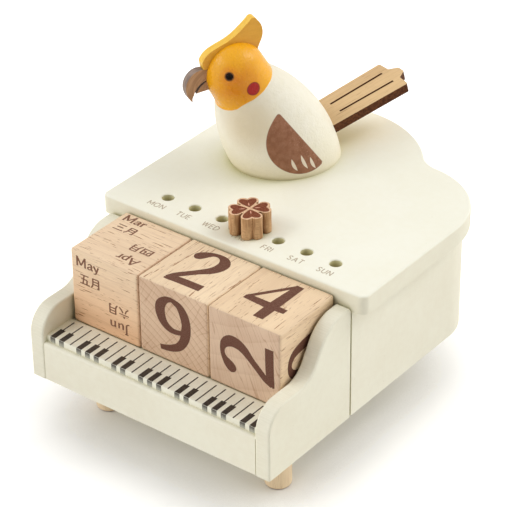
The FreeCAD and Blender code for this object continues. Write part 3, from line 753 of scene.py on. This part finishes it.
def inked(points, thick, thin):
    """Widths for a line as a broad nib leaves them: thick down, thin across."""
    line = []
    for i, (x, y) in enumerate(points):
        before, after = points[max(0, i - 1)], points[min(len(points) - 1, i + 1)]
        run = Vector((after[0] - before[0], after[1] - before[1])).normalized()
        lean = abs(run.y * nib_down - run.x * nib_across)
        line.append((x, y, thin + (thick - thin) * lean ** nib_contrast))
    return line


def write_word(sheet, here, word, left, base):
    for letter in word:
        width, strokes, feet = letters[letter]
        for path, foot in zip(strokes, feet):
            points = [(left + x * word_unit * word_stretch, base + y * word_unit) for x, y in path]
            sheet.stroke(inked(points, nib_thick, nib_thin), here)
            for x, y in {"f": points, "c": points[1:]}.get(foot, []):
                serif = [(x - serif_reach, y, serif_width), (x + serif_reach, y, serif_width)]
                sheet.stroke(serif, here)
        left += (width + letter_gap) * word_unit * word_stretch


def write_characters(sheet, here, names, left, base):
    for name in names:
        for path in characters[name]:
            points = [(left + x * unit_x, base + y * unit_y) for x, y in path]
            sheet.stroke(inked(points, character_thick, character_thin), here)
        left += character_width * character_step


# Two months to a face, the second upside down: word, number, and where the
# word and the characters start.
upright = (2.6, 23.6), (3.2, 16.6)
upside_down = (3.6, 23.2), (4.0, 16.2)
month_layout = {
    "top": (("Mar", ["3"], (2.1, 24.9), (3.0, 18.4)), ("Apr", ["4"], (4.3, 22.7), (4.2, 14.8))),
    "front": (("May", ["5"], (2.3, 24.0), (3.7, 16.9)), ("Jun", ["6"], (4.0, 23.0), (4.3, 16.0))),
    "right": (("Jul", ["7"], *upright), ("Aug", ["8"], *upside_down)),
    "left": (("Jan", ["1"], *upright), ("Feb", ["2"], *upside_down)),
    "back": (("Sep", ["9"], *upright), ("Oct", ["10"], *upside_down)),
    "bottom": (("Nov", ["10", "1"], *upright), ("Dec", ["10", "2"], *upside_down)),
}
month_sheet = Print()
month_faces = cube_faces("month_cube")
for side, months in month_layout.items():
    for quarters, (word, number, word_start, number_start) in zip((0, 2), months):
        here = quarter_turned(month_faces[side], quarters)
        write_word(month_sheet, here, word, *word_start)
        write_characters(month_sheet, here, number + ["month"], *number_start)
month_sheet.finish("month_cube_print", month_ink, "month_cube", "cube_beech")

# --- Heart-petal peg --------------------------------------------------------
# A loose marker laser cut from a beech board with its pin glued in. Its top is
# printed with four dark red-brown hearts, each with a pale stroke that starts
# near the centre. The cut sides are toasted brown.

wood = Finish("flower_wood", at=(0, hole_row, lid_top))
beech = wood.use(beech_timber, Place=wood.stretched(wood.own, (1, 1, 1), (9, 14, 0)),
                 Normal=wood.normal, Face=tone(214, 172, 126), End=tone(240, 200, 162),
                 Dark=tone(120, 78, 44), Ring=1.7, Fleck=0.4, Line=0.24, Ray=0.26)
bands = wood.patches((1.1, 1.1, 0.12), 3.0, 0.4, 0.62)
cut_marks = wood.between(wood.noise((0.6, 0.6, 2.6)), 0.5, 0.62, 0.0, 0.6)
cut_side = 1.0 - beech["EndGrain"]
toasted = wood.calc("MAXIMUM", bands, cut_marks) * (cut_side * 0.55)
side_wood = wood.mix(toasted, beech["Color"], tone(144, 94, 52))
# Painted shade: the cut sides darken to deep brown in their grooves and corners.
painted_crease_shade = wood.corner(0.0025, 0.2, 0.8, 0.6) * cut_side
wood.surface(wood.mix(painted_crease_shade, side_wood, tone(104, 60, 32)), beech["Roughness"],
             beech["Height"], wood_depth, 0.2)
wood.coat("peg_flower")
bare_beech("peg_pin_beech", (6, -10, 0), (0, 0, 0), ring_width=1.2).coat("peg_pin")

heart_side = [(0.75, 0.0), (1.8, 1.1), (3.3, 2.3), (4.8, 3.05), (6.0, 2.9), (6.5, 2.0), (6.3, 1.0),
              (5.65, 0.0)]
heart_light = [(1.75, 0.0, 0.16), (2.5, 0.0, 0.42), (3.2, 0.0, 0.3), (3.7, 0.0, 0.1)]
petals = 4
first_petal = 45
light_lift = 0.02

flower_low, flower_high = [corner * 1000 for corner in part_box("peg_flower")]
flower_middle = (flower_low + flower_high) / 2
half_heart = [(x, y) for x, y, _ in flowing([(x, y, 0) for x, y in heart_side])]
heart = [(x, -y) for x, y in half_heart] + half_heart[-2:0:-1]
hearts, heart_lights = Print(), Print()
for petal in range(petals):
    turned = Matrix.Rotation(math.radians(first_petal + 360 / petals * petal), 4, "Z")
    here = Matrix.Translation((flower_middle.x, flower_middle.y, flower_high.z)) @ turned
    hearts.plate(heart, here)
    heart_lights.stroke(heart_light, here @ Matrix.Translation((0, 0, light_lift)))

heart_ink = stamped_ink("heart_ink", tone(134, 74, 48), tone(110, 54, 34), 1.6)
hearts.finish("peg_hearts", heart_ink, "peg", "flower_wood")
light_ink = stamped_ink("heart_light_ink", tone(232, 178, 152), tone(214, 156, 128))
heart_lights.finish("peg_heart_lights", light_ink, "peg", "flower_wood")

# --- Cockatoo: turned body --------------------------------------------------
# The body and head are one turning, dipped in off-white paint with the head
# in glossy yellow. Brown wings and red cheek spots are stamped on both sides.
# A dowel holds it to the lid.

bird_at, bird_heading, tail_heading = (-21.1, 30.669, 70.8), 28, 20
bird_place = {"at": bird_at, "turned": (0, 0, -bird_heading)}
lean = math.radians(28.8)
head_line, throat_line = 37.35, 36.3
cheek_spot, cheek_spot_radius = (11.4, -19.0, 36.3), 2.55
head_shade_centre = (10.9, -24.0, 37.5)
chest_shadow_centre = (12.5, -21.5, 23.0)
print_edge = 0.12

eye_low, eye_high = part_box("bird_eye_left")
eye_step = (eye_low + eye_high) * 500 - Vector(bird_at)
eye_socket = Matrix.Rotation(math.radians(bird_heading), 3, "Z") @ eye_step

# An oval mask: 1 inside, falling to 0 over a soft edge, all in millimetres.
oval_mask, ovals, taken, given = new_effect(
    "oval_mask",
    {"Across": "value", "Up": "value", "Width": "value", "Height": "value", "Edge": "value"},
    {"Mask": "value", "Distance": "value"},
)
reach = ovals.length(taken["Across"] / taken["Width"], taken["Up"] / taken["Height"])
distance = (reach - 1.0) * ovals.calc("MINIMUM", taken["Width"], taken["Height"])
ovals.feed(given["Distance"], distance)
ovals.feed(given["Mask"], ovals.fade(distance, taken["Edge"] * -1.0, taken["Edge"]))

bird = Finish("bird_body_paint", **bird_place)
side, back, rise = bird.parts(bird.own)
either_side = abs(side)
axis_height = rise * math.cos(lean) - back * math.sin(lean)
forward = back * -math.cos(lean) + rise * -math.sin(lean)
paint_line = bird.between(forward, 4.0, 9.0, head_line, throat_line)
head = bird.between(axis_height - paint_line + bird.noise(0.35) * 0.5, 0.16, 0.38)


def from_point(middle):
    """How far this place lies from a point, with both sides of the bird alike."""
    return bird.length(*[here - there for here, there in zip((either_side, back, rise), middle)])


spot_reach = from_point(cheek_spot)
spot = bird.fade(spot_reach, cheek_spot_radius - print_edge, cheek_spot_radius + print_edge)
spot_rim = bird.between(spot_reach, cheek_spot_radius - 0.7, cheek_spot_radius - 0.1)

# The wing: an oval cut by its straight leading edge, with three bare feathers.
wing_forward, wing_rise, wing_width, wing_height = 2.5, 16.0, 14.2, 13.8
edge_forward, edge_rise, edge_back, edge_up = 10.3, 25.6, 0.814, 0.581
corner_round = 1.1
wing_straight = (back + edge_forward) * edge_back + (rise - edge_rise) * edge_up
wing_oval = bird.use(oval_mask, Across=back + wing_forward, Up=rise - wing_rise,
                     Width=wing_width, Height=wing_height, Edge=print_edge)
outside_straight = bird.calc("MAXIMUM", wing_straight + corner_round, 0.0)
outside_oval = bird.calc("MAXIMUM", wing_oval["Distance"] + corner_round, 0.0)
wing_reach = bird.length(outside_straight, outside_oval)
wing = bird.fade(wing_reach, corner_round - print_edge, corner_round + print_edge)
wing = wing * bird.between(either_side, 8.0, 9.0)

feather_places = ((-6.9, 6.6, 2.9), (-3.1, 7.1, 3.4), (0.4, 5.8, 2.9))
feather_lean = math.radians(24)
feather_half_width, feather_bow, feather_edge = 0.6, -0.35, 0.08
feathers = 0.0
for middle_back, middle_rise, half_length in feather_places:
    step_back, step_rise = back - middle_back, rise - middle_rise
    long_way = step_rise * math.cos(feather_lean) - step_back * math.sin(feather_lean)
    short_way = step_back * math.cos(feather_lean) + step_rise * math.sin(feather_lean)
    along_leaf = long_way / half_length
    belly = 1.0 - along_leaf * along_leaf
    leaf = belly * feather_half_width - abs(short_way - belly * feather_bow)
    feathers = bird.calc("MAXIMUM", feathers, bird.between(leaf, -feather_edge, feather_edge))

coating = bird.use(painted_wood, Place=bird.own, Paint=tone(246, 240, 222),
                   Shade=tone(240, 233, 210))
# Painted shade: the white turns a warm, darker tone where the body is closed in, most of all under the
# head, and a painted shadow of the head falls on the chest.
white = bird.mix(bird.corner(0.022, 0.2, 0.9, 0.55), coating["Color"], tone(212, 196, 152))
painted_chest_shadow = bird.between(from_point(chest_shadow_centre), 3.0, 15.0, 0.65, 0.0)
white = bird.mix(painted_chest_shadow, white, tone(222, 204, 166))
# Painted shadow: a thin olive shade where the body meets the lid and its let-in pieces.
white = bird.mix(bird.corner(0.003, 0.2, 0.7, 0.4), white, tone(150, 138, 80))

# Painted shade: the yellow deepens to orange round a spot on each side of the head, below and in front
# of the eye.
away_from_head_shade = bird.between(from_point(head_shade_centre), 2.0, 13.0)
yellow = bird.mix(away_from_head_shade, tone(226, 138, 8), tone(248, 176, 16))
blush = bird.between(from_point(eye_socket), 2.0, 4.2, 0.35, 0.0)
yellow = bird.mix(blush, yellow, tone(226, 116, 28))
yellow = bird.mix(bird.patches(0.18) * 0.22, yellow, tone(246, 184, 50))

brown = bird.mix(bird.patches(0.5, 3.0), tone(139, 90, 60), tone(155, 104, 74))
edge_wear = bird.between(wing_straight, -6.0, -0.5, 0.25, 0.9)
worn = bird.patches(1.5, 4.0, 0.56, 0.66, rough=0.7) * edge_wear
brown = bird.mix(worn, brown, tone(186, 134, 108))
brown = bird.mix(feathers, brown, tone(236, 222, 200))

colour = bird.mix(wing, bird.mix(head, white, yellow), brown)
# Painted shadow: a brown ring round each eye bead stands for the shade of its socket.
socket_shadow_ring = bird.between(from_point(eye_socket), 1.6, 1.95, 0.8, 0.0)
colour = bird.mix(socket_shadow_ring, colour, tone(100, 52, 14))
colour = bird.mix(spot, colour, bird.mix(spot_rim, tone(172, 4, 2), tone(140, 3, 1)))
bird.surface(colour, coating["Roughness"] - head * 0.27, coating["Height"], 0.2, 0.4)
bird.coat("bird_body")
bare_beech("bird_dowel_beech", (6, 0, 0), (0, 0, 0), ring_width=1.2).coat("bird_dowel")

# --- Cockatoo: crest, beak, tail and eyes -----------------------------------
# Crest, beak and tail are laser-cut plates glued into sawn slots: the crest
# painted yellow, the beak walnut, the tail beech with burnt edges and scored
# feather lines. The eyes are small black beads pressed into drilled sockets.

crest = Finish("crest_paint", **bird_place)
flat_side = crest.between(abs(crest.parts(crest.normal)[0]), 0.55, 0.8)
streak = crest.patches((1.0, 0.2, 0.7), 3.0)
gold = crest.mix(flat_side, crest.mix(streak, tone(244, 190, 52), tone(250, 202, 72)),
                 crest.mix(streak, tone(228, 165, 42), tone(234, 172, 52)))
# Painted shade: the crest darkens to deep orange where it meets the head.
gold = crest.mix(crest.corner(0.003, 0.3, 0.9, 0.6), gold, tone(150, 84, 10))
crest.surface(gold, crest.between(streak, 0.0, 1.0, 0.3, 0.45), streak, 0.02)
crest.coat("bird_crest")

hook_middle = (0.0, -30.0, 34.0)
beak = Finish("walnut_beak", **bird_place)
side, back, rise = beak.parts(beak.own)
curved = beak.vectors("LENGTH", beak.vectors("SUBTRACT", beak.own, hook_middle))
grain_place = beak.node("CombineXYZ", {"X": side, "Y": curved * 1.1, "Z": rise * 0.15}, 0)
grain = beak.patches(1.0, 3.0, 0.36, 0.64, place=grain_place)
flat_side = beak.between(abs(beak.parts(beak.normal)[0]), 0.55, 0.8)
brown = beak.mix(grain, tone(170, 126, 86), tone(194, 150, 110))
rim = beak.mix(grain, tone(122, 102, 90), tone(156, 134, 120))
beak.surface(beak.mix(flat_side, rim, brown), beak.between(grain, 0.0, 1.0, 0.45, 0.6), grain, 0.03)
beak.coat("bird_beak")

tail_pitch = 14
groove_side, groove_splay, groove_low = 3.15, 0.0166, 6.9
groove_start, groove_end = 22.5, 46.5
tail = Finish("tail_beech", at=bird_at, turned=(tail_pitch, 0, -tail_heading))
quarter = {"Vector": tail.own, "Angle": math.radians(90)}
grain_way = tail.node("VectorRotate", quarter, 0, rotation_type="X_AXIS")
beech = tail.use(beech_timber, Place=tail.stretched(grain_way, (1, 1, 1), (20, 12, 0)),
                 Normal=(0.0, 0.0, 0.0), Face=tone(231, 197, 148), End=tone(210, 178, 150),
                 Dark=tone(150, 100, 60), Ring=2.4, Fleck=0.3, Line=0.2, Ray=0.2)
across, along, above = tail.parts(tail.own)
line_place = groove_side + (along - groove_start) * groove_splay
# The scored lines are dark brown: partly burnt wood, partly painted shade for their depth.
groove = tail.fade(abs(abs(across) - line_place), 0.35, 0.6)
on_line = tail.calc("GREATER_THAN", along, groove_start) * tail.calc("LESS_THAN", along, groove_end)
groove = groove * (on_line * tail.calc("GREATER_THAN", above, groove_low))
board = tail.mix(groove, beech["Color"], tone(84, 48, 20))
burnt_edge = tail.fade(abs(tail.parts(tail.normal)[2]), 0.4, 0.75)
soot = tail.mix(tail.patches(1.2), tone(76, 40, 18), tone(104, 60, 30))
tail.surface(tail.mix(burnt_edge, board, soot), beech["Roughness"], beech["Height"], 0.03, 0.15)
tail.coat("bird_tail")

bead = Finish("black_bead")
smear = bead.patches(2.0)
bead.surface(bead.mix(smear, tone(8, 6, 4), tone(34, 20, 8)),
             bead.between(smear, 0.0, 1.0, 0.12, 0.22), specular=0.08)
bead.coat("bird_eye_left", "bird_eye_right")

# --- Table top, light and camera --------------------------------------------
# A plain white table and a white room, brighter from the left and from behind
# to the right, with a soft lamp on each of those sides. The floor keeps the
# shadow and is lifted to white for the camera alone.

white = bpy.data.materials.new("table_white")
white.use_nodes = True
inputs = white.node_tree.nodes["Principled BSDF"].inputs
table = Wiring(white.node_tree)
table.own = table.node("TexCoord")["Object"]
grain = table.mix(table.noise(60.0), (0.86, 0.85, 0.825, 1), (0.88, 0.87, 0.845, 1))
table.feed(inputs["Base Color"], grain)
inputs["Roughness"].default_value = 0.8
inputs["Specular IOR Level"].default_value = 0.1
inputs["Emission Color"].default_value = (1, 1, 1, 1)
lift = table.node("LightPath")["Is Camera Ray"]
# The lift is held back where the floor is closed in by the piano, which paints the shade under and
# beside it deeper.
shelter = table.node("AmbientOcclusion", {"Distance": 0.04}, "AO", samples=8)
open_floor = table.between(shelter, 0.5, 0.9)
table.feed(inputs["Emission Strength"], lift * (open_floor * 0.5))

floor_reach = 3.0
corners = [(floor_reach * x, floor_reach * y, 0) for x, y in ((-1, -1), (1, -1), (1, 1), (-1, 1))]
floor_mesh = bpy.data.meshes.new("table_top")
floor_mesh.from_pydata(corners, [], [(0, 1, 2, 3)])
floor_mesh.materials.append(white)
floor = bpy.data.objects.new("table_top", floor_mesh)
bpy.context.scene.collection.objects.link(floor)

# The room's walls: a direction, where its glow begins, and its strength; a
# strength below 0 darkens that side.
room_level = 0.4
walls = (
    ((-0.65, -0.75, 0.2), 0.4, 1.3),
    ((0.6, 0.8, 0.3), 0.4, 1.4),
    ((0.6, -0.8, 0.5), 0.3, -0.25),
)
wall_full = 0.95
world = bpy.data.worlds.new("white_room")
world.use_nodes = True
bpy.context.scene.world = world
room = Wiring(world.node_tree)
outwards = room.node("TexCoord")["Generated"]
level = room_level
for direction, wide_edge, strength in walls:
    closeness = room.vectors("DOT_PRODUCT", outwards, Vector(direction).normalized())
    level = level + room.between(closeness, wide_edge, wall_full) * strength
rays = room.node("LightPath")
mirrored = room.calc("MAXIMUM", rays["Is Glossy Ray"], rays["Is Transmission Ray"])
seen = room.calc("MAXIMUM", rays["Is Camera Ray"], mirrored)
backdrop = world.node_tree.nodes["Background"].inputs
backdrop["Color"].default_value = (1, 1, 1, 1)
room.feed(backdrop["Strength"], level + seen * (1.0 - level))

model_middle = Vector((0, 0, 0.06))


def soft_lamp(name, direction, distance, wide, tall, spin, power):
    lamp = bpy.data.lights.new(name, "AREA")
    lamp.shape = "RECTANGLE"
    lamp.size = wide
    lamp.size_y = tall
    lamp.energy = power
    holder = bpy.data.objects.new(name, lamp)
    bpy.context.scene.collection.objects.link(holder)
    aim = Vector(direction).normalized()
    holder.location = model_middle + aim * distance
    holder.rotation_mode = "QUATERNION"
    spun = Matrix.Rotation(math.radians(spin), 3, "Z").to_quaternion()
    holder.rotation_quaternion = aim.to_track_quat("Z", "Y") @ spun


soft_lamp("back_softbox", (0.45, 0.54, 0.71), 1.4, 0.3, 0.95, 30, 3.4)
soft_lamp("front_softbox", (-0.5, -0.56, 0.67), 1.4, 0.35, 0.4, 0, 2.4)

camera_place = Vector((0.4312, -0.5704, 0.4987))
azimuth, elevation, roll = [math.radians(angle) for angle in (37.993, 32.053, -0.74)]
camera = bpy.data.cameras.new("camera")
camera.sensor_width = 36
camera.lens = 168.33
camera.clip_start = 0.05
camera.clip_end = 20
level_right = Vector((math.cos(azimuth), math.sin(azimuth), 0))
level_back = Vector((math.sin(azimuth), -math.cos(azimuth), 0)) * math.cos(elevation)
towards = level_back + Vector((0, 0, math.sin(elevation)))
level_up = towards.cross(level_right)
right = level_right * math.cos(roll) + level_up * math.sin(roll)
up = level_up * math.cos(roll) - level_right * math.sin(roll)
viewer = bpy.data.objects.new("camera", camera)
turned = Matrix((right, up, towards)).transposed().to_4x4()
viewer.matrix_world = Matrix.Translation(camera_place) @ turned
bpy.context.scene.collection.objects.link(viewer)
bpy.context.scene.camera = viewer
bpy.context.scene.view_settings.view_transform = "Standard"
